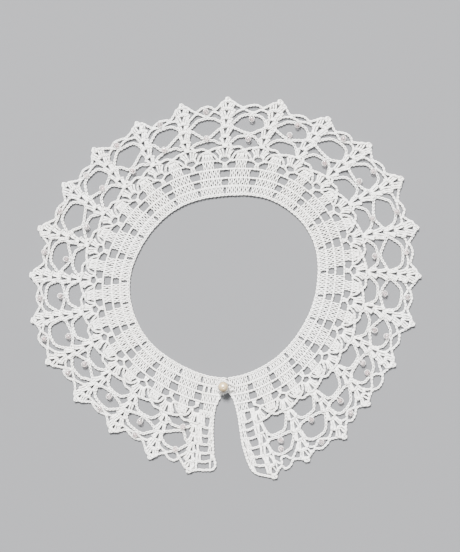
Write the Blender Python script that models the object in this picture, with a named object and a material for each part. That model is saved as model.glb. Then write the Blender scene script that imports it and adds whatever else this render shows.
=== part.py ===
"""A crochet lace collar, buttoned at the front and laid flat on a surface.

The lace is one sheet of crochet with its gaps cut through. It is drawn in collar coordinates:
"along" counts the columns of the lace clockwise from the left front edge, and "out" is the depth
from the neck edge in millimetres. One table holds where each column runs, and a second one what
differs from one repeat to the next. Every gap, picot and bead of the lace follows from them.

Metres, +Z up. The collar lies with its underside at z = 0, its front opening towards -Y and its
centre back towards +Y.
"""

import math
from collections import namedtuple

import bmesh
import bpy
from mathutils import Vector
from mathutils.geometry import delaunay_2d_cdt

MM = 0.001
MERGE_DISTANCE = 0.08

# Heights of the lace above the surface it lies on, in millimetres.
BAND_THICKNESS = 2.0
LOOP_THICKNESS = 1.8
FAN_THICKNESS = 2.4
SHELL_THICKNESS = 2.8
BEAD_TOP = 4.0

# The centre of the neck, as seen from the middle of the whole collar, in millimetres.
NECK_CENTRE = Vector((-0.3, 2.4))

# The neck edge: its distance from the centre of the neck, in millimetres, every 30 degrees
# clockwise from the front opening.
NECK_STEPS = 60
NECK_RADII = (66.0, 65.0, 67.5, 68.0, 65.0, 64.0, 63.5, 69.0, 70.5, 65.5, 62.5, 63.5)

# The neck band is three firm rows, up to the band depth. The rows up to the firm depth are as
# deep all round, and what lies further out is drawn for the nominal depth and stretched to the
# depth of its own column.
BAND_DEPTH = 22.0
FIRM_DEPTH = 36.0
NOMINAL_DEPTH = 71.5

# One row for each column of the lace: the left front edge, the 25 shell spokes and the right front
# edge. Degrees run clockwise from the front opening, at the neck band, in the shells and at the
# picot, and the last value is the depth at the picot, in millimetres.
Column = namedtuple("Column", ("neck", "shells", "picot", "depth"))
COLUMN_STATIONS = (0.2, 0.6, 1.0)
COLUMNS = tuple(Column(*row) for row in (
    (4.0, 4.3, 3.0, 66.0),
    (13.5, 11.5, 11.0, 71.0),
    (27.0, 24.0, 23.5, 70.5),
    (40.5, 38.5, 38.0, 68.0),
    (54.0, 52.5, 52.5, 68.5),
    (67.0, 66.0, 66.5, 72.0),
    (79.5, 79.0, 79.5, 73.0),
    (92.0, 92.0, 93.0, 72.0),
    (105.5, 106.5, 107.0, 73.5),
    (120.0, 120.5, 122.0, 72.0),
    (134.0, 134.5, 136.0, 71.5),
    (149.0, 149.0, 151.5, 68.5),
    (164.5, 164.0, 166.5, 69.5),
    (180.0, 180.0, 181.0, 70.5),
    (195.0, 195.0, 197.0, 71.5),
    (209.0, 210.0, 212.0, 72.0),
    (222.5, 224.0, 226.0, 75.0),
    (235.5, 237.5, 239.0, 78.5),
    (249.0, 251.0, 253.5, 76.0),
    (262.5, 265.5, 267.5, 74.5),
    (276.5, 279.0, 282.0, 74.5),
    (291.0, 293.0, 295.5, 72.0),
    (305.0, 306.5, 310.0, 72.0),
    (319.0, 320.0, 322.0, 77.0),
    (332.5, 333.0, 335.0, 76.0),
    (346.0, 346.0, 345.5, 78.5),
    (356.2, 354.3, 351.0, 72.0),
))

# One row for each of the 24 repeats between spokes: how far out its two rounds of chain loops
# bow, the share of the repeat at which each pair of loops is tied at a bead, how far the bead
# hangs out from its tie, and the depth of the hump of the edging. Depths are in millimetres, and a
# bead with a minus hangs neckwards.
Repeat = namedtuple("Repeat", (
    "inner", "outer", "inner_tie", "outer_tie", "inner_hang", "outer_hang", "hump"))
REPEATS = tuple(Repeat(*row) for row in (
    (40.5, 56.5, 0.40, 0.45, -2.0, -1.0, 66.5),
    (43.5, 57.0, 0.55, 0.50, 5.0, 2.0, 64.5),
    (43.5, 57.5, 0.55, 0.50, 4.0, 2.0, 65.0),
    (42.0, 55.5, 0.60, 0.60, 4.0, 4.0, 65.0),
    (43.5, 60.0, 0.45, 0.55, 4.0, 4.0, 70.0),
    (43.5, 58.5, 0.55, 0.50, 4.0, 3.0, 66.5),
    (41.5, 57.0, 0.50, 0.55, 4.0, 4.0, 64.5),
    (41.5, 58.5, 0.45, 0.50, -2.0, 2.0, 65.5),
    (43.0, 58.5, 0.55, 0.50, 2.0, 1.0, 66.0),
    (40.0, 58.0, 0.45, 0.45, -1.0, 3.0, 66.5),
    (39.5, 56.5, 0.45, 0.50, 1.0, 3.0, 64.5),
    (39.5, 56.0, 0.55, 0.55, 1.0, 4.0, 66.5),
    (42.0, 57.5, 0.60, 0.55, -3.0, -4.0, 66.5),
    (42.5, 57.0, 0.55, 0.55, 4.0, -2.0, 65.0),
    (43.0, 58.0, 0.65, 0.55, -3.0, 3.0, 67.5),
    (44.0, 59.0, 0.60, 0.55, 3.0, -2.0, 66.5),
    (42.5, 58.0, 0.60, 0.60, 0.0, 0.0, 65.5),
    (42.0, 58.5, 0.55, 0.50, -3.0, 1.0, 66.5),
    (42.5, 58.5, 0.55, 0.50, 4.0, 3.0, 67.0),
    (42.0, 57.5, 0.55, 0.50, 4.0, -3.0, 66.5),
    (44.5, 58.5, 0.45, 0.50, 4.0, -4.0, 70.0),
    (46.0, 58.0, 0.60, 0.55, 5.0, 3.0, 67.5),
    (44.5, 59.5, 0.55, 0.55, 3.0, 3.0, 68.5),
    (45.5, 58.0, 0.55, 0.60, 4.0, -5.0, 69.0),
))

# The middle line of each spoke and fan, where the stitches are thickest, in millimetres.
SHELL_RIDGE_DEPTHS = (32.5, 47.0, 61.0)
FAN_RIDGE_DEPTH = 29.0

# Where the two loops of a repeat meet the spokes: no nearer to the neck than the shoulder depth,
# and at least this far past the bow of the inner loop.
SHOULDER_DEPTH = 48.6
SHOULDER_OFFSET = 3.3

# Gaps at each spoke, as (share of the repeat either side of the spoke, depth).
SPOKE_GAPS = {
    "second_row_eyelet": ((-0.10, 8.3), (0.09, 8.3), (0.11, 11.0), (0.0, 12.3), (-0.11, 11.0)),
    "third_row_eyelet": (
        (-0.14, 14.6), (0.13, 14.6), (0.16, 17.4), (0.09, 19.4), (-0.09, 19.5), (-0.16, 17.5)),
    "left_window": ((-0.34, 22.4), (-0.31, 20.0), (-0.13, 21.3), (-0.13, 23.2), (-0.26, 23.9)),
    "right_window": ((0.08, 22.4), (0.28, 20.8), (0.31, 22.9), (0.17, 24.4), (0.08, 24.0)),
    "diamond": ((-0.12, 26.8), (0.0, 25.2), (0.12, 27.3), (0.05, 28.9), (-0.05, 28.9)),
}

# The outer edge: a picot at each spoke, as (share, depth), and a low hump between spokes, as
# (share, depth from its own top).
PICOT = (
    (-0.17, 67.8), (-0.10, 68.8), (-0.045, 69.4), (-0.03, 71.8),
    (0.03, 71.8), (0.045, 69.4), (0.10, 68.6), (0.17, 66.8))
HUMP = ((0.29, -1.3), (0.42, -0.1), (0.58, -0.2), (0.72, -0.8))

# The two front edges from the neck to the corner, as (degrees, depth). The left one passes under
# the pearl, and the right one stops just short of it.
LEFT_EDGE = (
    (-1.0, 0.3), (-1.0, 8.0), (-0.4, 10.6), (1.8, 11.6), (2.3, 15.0), (3.8, 19.5), (4.5, 28.0),
    (4.5, 34.5), (4.2, 43.0), (3.7, 50.0), (3.4, 57.0), (2.7, 62.0), (2.9, 64.8), (3.9, 67.0),
    (6.1, 68.0))
RIGHT_EDGE = (
    (348.4, 74.6), (350.7, 71.8), (352.2, 67.4), (353.3, 58.0), (354.0, 50.0), (354.3, 42.0),
    (354.5, 33.0), (354.9, 25.0), (355.6, 19.0), (356.3, 15.7), (358.3, 11.0), (358.5, 7.0),
    (358.5, 0.3))

# The ladder of gaps beside each front edge: the middle of each, as the share of the front strip
# from its edge and the depth, the half widths of its outer and its neckward side, as shares, and
# its half length, in millimetres.
Rung = namedtuple("Rung", ("along", "out", "outer_half", "neck_half", "half_length"))
LEFT_LADDER = tuple(Rung(*row) for row in (
    (0.40, 33.7, 0.06, 0.15, 2.1),
    (0.47, 39.9, 0.12, 0.20, 1.8),
    (0.44, 47.0, 0.08, 0.19, 2.2),
    (0.48, 53.2, 0.15, 0.25, 1.8),
    (0.37, 60.5, 0.18, 0.20, 1.9),
    (0.43, 66.7, 0.24, 0.26, 1.5),
))
RIGHT_LADDER = tuple(Rung(*row) for row in (
    (0.57, 30.1, 0.10, 0.12, 1.7),
    (0.54, 36.1, 0.18, 0.18, 1.5),
    (0.50, 41.4, 0.18, 0.18, 1.6),
    (0.54, 47.8, 0.16, 0.19, 2.2),
    (0.50, 54.4, 0.12, 0.23, 2.1),
    (0.52, 60.2, 0.23, 0.16, 1.5),
    (0.42, 66.1, 0.26, 0.26, 1.6),
))

# The beads: how far past the bow of its loop each tie lies, and the round lobe under each bead.
INNER_TIE_OFFSET = 1.8
OUTER_TIE_OFFSET = 2.0
BEAD_RADIUS = 2.0
BEAD_STEM_HALF = 1.1
BEAD_CORNERS = 6
BEAD_ARC = 300.0

# The pearl button and its loop. The pearl is sewn to the left front and the loop comes from the
# right front.
PEARL_ANGLE = 0.9
PEARL_OUT = 6.6
PEARL_RADIUS = 3.9
PEARL_SIDES = 24
PEARL_STEPS = 12
SHANK_RADIUS = 1.2
SHANK_HEIGHT = 0.5
CORD_RADIUS = 0.75
LOOP_BOW = 4.4
LOOP_REACH = 2.6
LOOP_FOOT = 1.2
LOOP_START = 50.0
LOOP_STEPS = 11
SEAM_GAP = 0.3

COTTON_COLOR = (0.87, 0.85, 0.80)
COTTON_ROUGHNESS = 0.85
PEARL_COLOR = (0.86, 0.76, 0.64)
PEARL_ROUGHNESS = 0.25
PEARL_COAT = 0.6
SMOOTH_ANGLE = 40.0


def remove_scene_objects():
    for scene_object in list(bpy.data.objects):
        bpy.data.objects.remove(scene_object)


def make_material(name, color, roughness, coat=0.0):
    material = bpy.data.materials.new(name)
    material.use_nodes = True
    shader = material.node_tree.nodes["Principled BSDF"]
    shader.inputs["Base Color"].default_value = (*color, 1.0)
    shader.inputs["Roughness"].default_value = roughness
    shader.inputs["Coat Weight"].default_value = coat
    return material


def blend(low, high, share):
    return low + (high - low) * share


def neck_radius(degrees):
    """The neck edge as a smooth closed curve through the listed radii."""
    step = 360.0 / len(NECK_RADII)
    place = (degrees % 360.0) / step
    first = int(place)
    t = place - first
    a, b, c, d = (NECK_RADII[(first + shift) % len(NECK_RADII)] for shift in (-1, 0, 1, 2))
    slope = 0.5 * (c - a)
    curve = a - 2.5 * b + 2.0 * c - 0.5 * d
    twist = 0.5 * (d - a) + 1.5 * (b - c)
    return b + t * (slope + t * (curve + t * twist))


def polar(degrees, out):
    """A point of the XY plane in millimetres, from its angle and its depth past the neck edge."""
    radius = neck_radius(degrees) + out
    turn = math.radians(degrees)
    return NECK_CENTRE - radius * Vector((math.sin(turn), math.cos(turn)))


def column_angle(index, out):
    """The angle of one column at a depth, through its three stations."""
    column = COLUMNS[index]
    first, second, third = (station * NOMINAL_DEPTH for station in COLUMN_STATIONS)
    if out <= first:
        return column.neck
    if out <= second:
        return blend(column.neck, column.shells, (out - first) / (second - first))
    return blend(column.shells, column.picot, (out - second) / (third - second))


def lay(along, out):
    """A point of the lace in millimetres, from its collar coordinates."""
    index = min(max(int(math.floor(along)), 0), len(COLUMNS) - 2)
    share = along - index
    degrees = blend(column_angle(index, out), column_angle(index + 1, out), share)
    depth = blend(COLUMNS[index].depth, COLUMNS[index + 1].depth, share)
    if out > FIRM_DEPTH:
        stretch = (depth - FIRM_DEPTH) / (NOMINAL_DEPTH - FIRM_DEPTH)
        out = FIRM_DEPTH + (out - FIRM_DEPTH) * stretch
    return polar(degrees, out)


def repeat_gaps(repeat):
    """The gaps between two spokes: two rounds of loops and the slits beside their ties."""
    inner, outer = repeat.inner, repeat.outer
    tie, outer_tie = repeat.inner_tie, repeat.outer_tie
    shoulder = max(SHOULDER_DEPTH, inner + SHOULDER_OFFSET)
    inner_loop = (
        (0.16, 37.0), (0.23, 35.8), (0.41, 35.8), (0.55, 34.0), (0.69, 35.0), (0.87, 35.8),
        (0.89, 37.4), (0.81, inner - 2.2), (0.72, inner - 0.3), (tie, inner), (0.36, inner - 0.7),
        (0.22, blend(37.0, inner, 0.3)))
    outer_loop = (
        (0.15, 51.0), (0.26, shoulder + 0.7), (tie, inner + 3.8), (0.80, shoulder), (0.91, 49.8),
        (0.87, 52.4), (0.81, outer - 2.4), (0.71, outer - 0.6), (outer_tie, outer),
        (0.37, outer - 0.7), (0.27, outer - 3.4))
    inner_left = (
        (0.19, inner + 0.6), (0.26, 46.9), (tie - 0.10, inner + 2.4), (tie - 0.16, inner + 1.4))
    inner_right = (
        (tie + 0.10, inner + 1.7), (tie + 0.12, inner + 2.5), (0.84, max(46.6, inner + 1.7)),
        (0.87, inner + 0.4))
    outer_left = (
        (0.18, outer - 0.6), (0.24, outer + 2.2), (outer_tie - 0.08, outer + 4.0),
        (outer_tie - 0.13, outer + 2.3), (0.29, outer + 1.4))
    outer_right = (
        (outer_tie + 0.13, outer + 2.4), (outer_tie + 0.10, outer + 4.2), (0.83, outer + 2.6),
        (0.90, outer - 1.2), (0.83, outer - 0.7))
    return (inner_loop, outer_loop, inner_left, inner_right, outer_left, outer_right)


def ladder_gaps(rungs, edge_column, inwards):
    """The gaps of one front ladder, each a wedge of four corners."""
    gaps = []
    for rung in rungs:
        corners = (
            (-rung.outer_half, rung.half_length), (rung.outer_half, rung.half_length),
            (rung.neck_half, -rung.half_length), (-rung.neck_half, -rung.half_length))
        gaps.append([(edge_column + inwards * (rung.along + across), rung.out + up)
                     for across, up in corners])
    return gaps


def bead_places(index):
    """The two beads of a repeat: each tie and the bead that hangs from it."""
    repeat = REPEATS[index]
    ties = (
        (repeat.inner_tie, repeat.inner + INNER_TIE_OFFSET, repeat.inner_hang),
        (repeat.outer_tie, repeat.outer + OUTER_TIE_OFFSET, repeat.outer_hang))
    for along, out, hang in ties:
        tie = lay(index + 1 + along, out)
        yield tie, tie + hang * (tie - NECK_CENTRE).normalized()


def bead_outline(tie, bead):
    """A round lobe for a bead, with a stem back to the tie that it hangs from."""
    hang = (bead - tie).length
    away = (bead - tie).normalized() if hang > MERGE_DISTANCE else Vector((1.0, 0.0))
    across = Vector((-away.y, away.x))
    ring = []
    for step in range(BEAD_CORNERS):
        turn = math.radians(BEAD_ARC * (step / (BEAD_CORNERS - 1) - 0.5))
        ring.append(bead + BEAD_RADIUS * (away * math.cos(turn) + across * math.sin(turn)))
    if hang > BEAD_RADIUS:
        ring.append(tie + across * BEAD_STEM_HALF)
        ring.append(tie - across * BEAD_STEM_HALF)
    return ring


def outer_edge():
    """The outline of the lace, from the left front corner round to the neck edge again."""
    points = [polar(degrees, out) for degrees, out in LEFT_EDGE]
    spokes = range(1, len(COLUMNS) - 1)
    for spoke in spokes:
        picot = PICOT[1:] if spoke == spokes[0] else PICOT
        picot = picot[:-1] if spoke == spokes[-1] else picot
        points.extend(lay(spoke + share, out) for share, out in picot)
        if spoke != spokes[-1]:
            hump = REPEATS[spoke - 1].hump
            points.extend(lay(spoke + share, hump + out) for share, out in HUMP)
    points.extend(polar(degrees, out) for degrees, out in RIGHT_EDGE)
    first, last = RIGHT_EDGE[-1][0], LEFT_EDGE[0][0]
    for step in range(1, NECK_STEPS):
        points.append(polar(blend(first, last, step / NECK_STEPS), 0.0))
    return points


def lace_gaps():
    """Every gap cut through the lace, as outlines in millimetres."""
    gaps = []
    for spoke in range(1, len(COLUMNS) - 1):
        for outline in SPOKE_GAPS.values():
            gaps.append([(spoke + share, out) for share, out in outline])
    for index, repeat in enumerate(REPEATS):
        for outline in repeat_gaps(repeat):
            gaps.append([(index + 1 + share, out) for share, out in outline])
    gaps.extend(ladder_gaps(LEFT_LADDER, 0, 1))
    gaps.extend(ladder_gaps(RIGHT_LADDER, len(COLUMNS) - 1, -1))
    return [[lay(along, out) for along, out in gap] for gap in gaps]


def inside(point, outline):
    """Whether a point lies inside a closed outline."""
    crossings = 0
    for a, b in zip(outline, outline[1:] + outline[:1]):
        if (a.y > point.y) != (b.y > point.y):
            crossings += point.x < a.x + (point.y - a.y) * (b.x - a.x) / (b.y - a.y)
    return crossings % 2 == 1


def bounds_of(outline):
    xs = [point.x for point in outline]
    ys = [point.y for point in outline]
    return min(xs), max(xs), min(ys), max(ys)


def near(point, bounds):
    return bounds[0] <= point.x <= bounds[1] and bounds[2] <= point.y <= bounds[3]


def lace_height(point):
    """The height of the lace over the surface at a point, in millimetres."""
    arm = point - NECK_CENTRE
    out = arm.length - neck_radius(math.degrees(math.atan2(-arm.x, -arm.y)))
    return BAND_THICKNESS if out < BAND_DEPTH else LOOP_THICKNESS


def spoke_ridges():
    """Points along the middle of each spoke and fan, which carry the thicker stitches."""
    points = []
    for spoke in range(1, len(COLUMNS) - 1):
        for out in SHELL_RIDGE_DEPTHS:
            points.append((lay(spoke, out), SHELL_THICKNESS))
    for index in range(len(REPEATS)):
        points.append((lay(index + 1.5, FAN_RIDGE_DEPTH), FAN_THICKNESS))
    return points


def lace_plate():
    """The flat net of the lace: its points, their heights and its triangles."""
    outline = outer_edge()
    gaps = lace_gaps()
    beads = [place for index in range(len(REPEATS)) for place in bead_places(index)]
    lobes = [bead_outline(tie, bead) for tie, bead in beads]
    points = []
    edges = []
    heights = []
    for loop in [outline] + gaps:
        start = len(points)
        points.extend(loop)
        heights.extend(lace_height(point) for point in loop)
        edges.extend((start + k, start + (k + 1) % len(loop)) for k in range(len(loop)))
    for loop, (tie, bead) in zip(lobes, beads):
        start = len(points)
        points.extend(loop)
        heights.extend(BAND_THICKNESS for point in loop)
        edges.extend((start + k, start + (k + 1) % len(loop)) for k in range(len(loop)))
        points.append(bead)
        heights.append(BEAD_TOP)
    for point, height in spoke_ridges():
        points.append(point)
        heights.append(height)
    net, _, faces, sources, _, _ = delaunay_2d_cdt(points, edges, [], 0, MERGE_DISTANCE)
    net_heights = []
    for point, source in zip(net, sources):
        known = [heights[k] for k in source]
        net_heights.append(max(known) if known else lace_height(point))
    gap_bounds = [bounds_of(gap) for gap in gaps]
    lobe_bounds = [bounds_of(lobe) for lobe in lobes]
    kept = []
    for face in faces:
        middle = sum((net[k] for k in face), Vector((0.0, 0.0))) / len(face)
        in_lobe = any(near(middle, box) and inside(middle, loop)
                      for box, loop in zip(lobe_bounds, lobes))
        in_gap = any(near(middle, box) and inside(middle, loop)
                     for box, loop in zip(gap_bounds, gaps))
        if in_lobe or (inside(middle, outline) and not in_gap):
            kept.append(face)
    return net, net_heights, kept


def plate_to_solid(net, heights, faces):
    """Raises a flat net to a closed solid with a flat underside."""
    mesh = bmesh.new()
    used = sorted({k for face in faces for k in face})
    lower = {k: mesh.verts.new((net[k].x * MM, net[k].y * MM, 0.0)) for k in used}
    upper = {k: mesh.verts.new((net[k].x * MM, net[k].y * MM, heights[k] * MM)) for k in used}
    borders = set()
    for face in faces:
        mesh.faces.new([upper[k] for k in face])
        mesh.faces.new([lower[k] for k in reversed(face)])
        for a, b in zip(face, face[1:] + face[:1]):
            if (b, a) in borders:
                borders.remove((b, a))
            else:
                borders.add((a, b))
    for a, b in sorted(borders):
        mesh.faces.new((upper[b], upper[a], lower[a], lower[b]))
    return mesh


def add_object(name, mesh, material, smooth=False):
    data = bpy.data.meshes.new(name)
    mesh.to_mesh(data)
    mesh.free()
    data.materials.append(material)
    if smooth:
        data.shade_smooth()
        data.set_sharp_from_angle(angle=math.radians(SMOOTH_ANGLE))
    made = bpy.data.objects.new(name, data)
    bpy.context.collection.objects.link(made)
    return made


def build_lace(material):
    net, heights, faces = lace_plate()
    add_object("lace_collar", plate_to_solid(net, heights, faces), material)


def pearl_seat():
    """Where the pearl is sewn: its place over the left end of the neck band."""
    x, y = polar(PEARL_ANGLE, PEARL_OUT)
    return Vector((x, y, BAND_THICKNESS + SEAM_GAP))


def build_pearl(material):
    """The pearl with its thread shank, turned round its upright axis as one body."""
    mesh = bmesh.new()
    seat = pearl_seat()
    start = math.asin(SHANK_RADIUS / PEARL_RADIUS)
    middle = SHANK_HEIGHT + PEARL_RADIUS * math.cos(start)
    profile = [(0.0, 0.0), (SHANK_RADIUS, 0.0)]
    for step in range(PEARL_STEPS + 1):
        turn = blend(start, math.pi, step / PEARL_STEPS)
        reach = PEARL_RADIUS * math.sin(turn) if step < PEARL_STEPS else 0.0
        profile.append((reach, middle - PEARL_RADIUS * math.cos(turn)))
    rings = []
    for reach, height in profile:
        if reach == 0.0:
            rings.append([mesh.verts.new((0.0, 0.0, height))])
            continue
        ring = []
        for step in range(PEARL_SIDES):
            turn = math.tau * step / PEARL_SIDES
            ring.append(mesh.verts.new((reach * math.cos(turn), reach * math.sin(turn), height)))
        rings.append(ring)
    for low, high in zip(rings, rings[1:]):
        for step in range(PEARL_SIDES):
            after = (step + 1) % PEARL_SIDES
            corners = [low[step % len(low)], low[after % len(low)],
                       high[after % len(high)], high[step % len(high)]]
            mesh.faces.new(list(dict.fromkeys(corners)))
    bmesh.ops.scale(mesh, vec=(MM, MM, MM), verts=mesh.verts)
    bmesh.ops.translate(mesh, vec=seat * MM, verts=mesh.verts)
    add_object("pearl_button", mesh, material, smooth=True)


def build_button_loop(material):
    """The cord loop that comes from the right front and passes round the shank of the pearl."""
    seat = pearl_seat()
    height = BAND_THICKNESS + SEAM_GAP + CORD_RADIUS
    foot = Vector((seat.x + LOOP_BOW + LOOP_REACH, seat.y, height))
    points = [foot + Vector((0.0, LOOP_FOOT, 0.0))]
    for step in range(LOOP_STEPS + 1):
        turn = math.radians(blend(LOOP_START, 360.0 - LOOP_START, step / LOOP_STEPS))
        points.append(Vector((
            seat.x + LOOP_BOW * math.cos(turn), seat.y + LOOP_BOW * math.sin(turn), height)))
    points.append(foot - Vector((0.0, LOOP_FOOT, 0.0)))
    curve = bpy.data.curves.new("button_loop", "CURVE")
    curve.dimensions = "3D"
    curve.bevel_depth = CORD_RADIUS * MM
    curve.bevel_resolution = 2
    curve.use_fill_caps = True
    spline = curve.splines.new("POLY")
    spline.points.add(len(points) - 1)
    for point, place in zip(spline.points, points):
        point.co = (*(place * MM), 1.0)
    curve.materials.append(material)
    made = bpy.data.objects.new("button_loop", curve)
    bpy.context.collection.objects.link(made)


def main():
    remove_scene_objects()
    cotton = make_material("ivory_cotton", COTTON_COLOR, COTTON_ROUGHNESS)
    pearl = make_material("pearl", PEARL_COLOR, PEARL_ROUGHNESS, PEARL_COAT)
    build_lace(cotton)
    build_pearl(pearl)
    build_button_loop(cotton)


main()
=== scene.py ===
"""The looks of the crochet lace collar: every stitch of its thread, its glass beads and its pearl.

The lace is drawn in the same collar coordinates as its solid: "along" counts the columns of the
lace clockwise from the left front edge, and "out" is the depth from the neck edge in millimetres.
"""

import math
from collections import namedtuple

import bpy
import numpy as np
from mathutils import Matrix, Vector


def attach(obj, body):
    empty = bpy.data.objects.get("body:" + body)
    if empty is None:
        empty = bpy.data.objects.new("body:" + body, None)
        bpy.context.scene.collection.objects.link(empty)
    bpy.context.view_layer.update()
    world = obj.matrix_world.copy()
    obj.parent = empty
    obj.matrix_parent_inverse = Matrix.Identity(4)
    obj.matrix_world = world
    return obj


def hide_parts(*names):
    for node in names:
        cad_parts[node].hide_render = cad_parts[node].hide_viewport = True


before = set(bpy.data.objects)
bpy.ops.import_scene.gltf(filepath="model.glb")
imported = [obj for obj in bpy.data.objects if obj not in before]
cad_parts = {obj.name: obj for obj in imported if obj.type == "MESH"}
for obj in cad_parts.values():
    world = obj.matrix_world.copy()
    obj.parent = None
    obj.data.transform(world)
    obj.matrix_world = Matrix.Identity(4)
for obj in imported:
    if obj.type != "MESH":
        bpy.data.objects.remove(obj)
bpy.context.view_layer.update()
dice = np.random.default_rng(11)

MM = 0.001

# The collar's own dimensions, in millimetres and degrees.
NECK_CENTRE = Vector((-0.3, 2.4))
NECK_RADII = (66.0, 65.0, 67.5, 68.0, 65.0, 64.0, 63.5, 69.0, 70.5, 65.5, 62.5, 63.5)
FIRM_DEPTH = 36.0
NOMINAL_DEPTH = 71.5
BAND_THICKNESS = 2.0

# One row for each column: degrees at the neck band, in the shells and at the picot, and the depth.
Column = namedtuple("Column", ("neck", "shells", "picot", "depth"))
COLUMN_STATIONS = (0.2, 0.6, 1.0)
COLUMNS = tuple(Column(*row) for row in (
    (4.0, 4.3, 3.0, 66.0),
    (13.5, 11.5, 11.0, 71.0),
    (27.0, 24.0, 23.5, 70.5),
    (40.5, 38.5, 38.0, 68.0),
    (54.0, 52.5, 52.5, 68.5),
    (67.0, 66.0, 66.5, 72.0),
    (79.5, 79.0, 79.5, 73.0),
    (92.0, 92.0, 93.0, 72.0),
    (105.5, 106.5, 107.0, 73.5),
    (120.0, 120.5, 122.0, 72.0),
    (134.0, 134.5, 136.0, 71.5),
    (149.0, 149.0, 151.5, 68.5),
    (164.5, 164.0, 166.5, 69.5),
    (180.0, 180.0, 181.0, 70.5),
    (195.0, 195.0, 197.0, 71.5),
    (209.0, 210.0, 212.0, 72.0),
    (222.5, 224.0, 226.0, 75.0),
    (235.5, 237.5, 239.0, 78.5),
    (249.0, 251.0, 253.5, 76.0),
    (262.5, 265.5, 267.5, 74.5),
    (276.5, 279.0, 282.0, 74.5),
    (291.0, 293.0, 295.5, 72.0),
    (305.0, 306.5, 310.0, 72.0),
    (319.0, 320.0, 322.0, 77.0),
    (332.5, 333.0, 335.0, 76.0),
    (346.0, 346.0, 345.5, 78.5),
    (356.2, 354.3, 351.0, 72.0),
))
SPOKES = range(1, len(COLUMNS) - 1)

# One row for each repeat: the bows of its loops, their ties, how far the beads hang, and the hump.
Repeat = namedtuple("Repeat", (
    "inner", "outer", "inner_tie", "outer_tie", "inner_hang", "outer_hang", "hump"))
REPEATS = tuple(Repeat(*row) for row in (
    (40.5, 56.5, 0.40, 0.45, -2.0, -1.0, 66.5),
    (43.5, 57.0, 0.55, 0.50, 5.0, 2.0, 64.5),
    (43.5, 57.5, 0.55, 0.50, 4.0, 2.0, 65.0),
    (42.0, 55.5, 0.60, 0.60, 4.0, 4.0, 65.0),
    (43.5, 60.0, 0.45, 0.55, 4.0, 4.0, 70.0),
    (43.5, 58.5, 0.55, 0.50, 4.0, 3.0, 66.5),
    (41.5, 57.0, 0.50, 0.55, 4.0, 4.0, 64.5),
    (41.5, 58.5, 0.45, 0.50, -2.0, 2.0, 65.5),
    (43.0, 58.5, 0.55, 0.50, 2.0, 1.0, 66.0),
    (40.0, 58.0, 0.45, 0.45, -1.0, 3.0, 66.5),
    (39.5, 56.5, 0.45, 0.50, 1.0, 3.0, 64.5),
    (39.5, 56.0, 0.55, 0.55, 1.0, 4.0, 66.5),
    (42.0, 57.5, 0.60, 0.55, -3.0, -4.0, 66.5),
    (42.5, 57.0, 0.55, 0.55, 4.0, -2.0, 65.0),
    (43.0, 58.0, 0.65, 0.55, -3.0, 3.0, 67.5),
    (44.0, 59.0, 0.60, 0.55, 3.0, -2.0, 66.5),
    (42.5, 58.0, 0.60, 0.60, 0.0, 0.0, 65.5),
    (42.0, 58.5, 0.55, 0.50, -3.0, 1.0, 66.5),
    (42.5, 58.5, 0.55, 0.50, 4.0, 3.0, 67.0),
    (42.0, 57.5, 0.55, 0.50, 4.0, -3.0, 66.5),
    (44.5, 58.5, 0.45, 0.50, 4.0, -4.0, 70.0),
    (46.0, 58.0, 0.60, 0.55, 5.0, 3.0, 67.5),
    (44.5, 59.5, 0.55, 0.55, 3.0, 3.0, 68.5),
    (45.5, 58.0, 0.55, 0.60, 4.0, -5.0, 69.0),
))

# How far beyond the inner and the outer bow their ties lie, and the shoulders of the outer gaps.
INNER_TIE_OFFSET = 1.8
OUTER_TIE_OFFSET = 2.0
SHOULDER_DEPTH = 48.6
SHOULDER_OFFSET = 3.3

# The gaps of the front ladders: the middle of each, as the share of the front strip from its edge
# and the depth, and the half widths of its outer and its neckward side, as shares.
Rung = namedtuple("Rung", ("along", "out", "outer_half", "neck_half"))
LEFT_LADDER = tuple(Rung(*row) for row in (
    (0.40, 33.7, 0.06, 0.15),
    (0.47, 39.9, 0.12, 0.20),
    (0.44, 47.0, 0.08, 0.19),
    (0.48, 53.2, 0.15, 0.25),
    (0.37, 60.5, 0.18, 0.20),
    (0.43, 66.7, 0.24, 0.26),
))
RIGHT_LADDER = tuple(Rung(*row) for row in (
    (0.57, 30.1, 0.10, 0.12),
    (0.54, 36.1, 0.18, 0.18),
    (0.50, 41.4, 0.18, 0.18),
    (0.54, 47.8, 0.16, 0.19),
    (0.50, 54.4, 0.12, 0.23),
    (0.52, 60.2, 0.23, 0.16),
    (0.42, 66.1, 0.26, 0.26),
))

# The front edges, as (degrees, depth).
LEFT_EDGE = (
    (-1.0, 0.3), (-1.0, 8.0), (-0.4, 10.6), (1.8, 11.6), (2.3, 15.0), (3.8, 19.5), (4.5, 28.0),
    (4.5, 34.5), (4.2, 43.0), (3.7, 50.0), (3.4, 57.0), (2.7, 62.0), (2.9, 64.8), (3.9, 67.0),
    (6.1, 68.0))
RIGHT_EDGE = (
    (358.5, 0.3), (358.5, 7.0), (358.3, 11.0), (356.3, 15.7), (355.6, 19.0), (354.9, 25.0),
    (354.5, 33.0), (354.3, 42.0), (354.0, 50.0), (353.3, 58.0), (352.2, 67.4), (350.7, 71.8),
    (348.4, 74.6))

# The thread and the links of its chains, in millimetres, and the number of its plies.
THREAD_RADIUS = 0.42
THREAD_SIDES = 5
PLIES = 3.0
PLY_PITCH = 1.7
CHAIN_PITCH = 2.5
CHAIN_WIDTH = 2.15

# The tips of a strand: how wide they are and how far they reach, as shares of its radius.
TIP_WIDTH = 0.8
TIP_REACH = 0.5

# Steps from point to point of a chain's path, and the millimetres over which its way is taken.
CURVE_STEPS = 8
LOOK_AHEAD = 0.2

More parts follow.
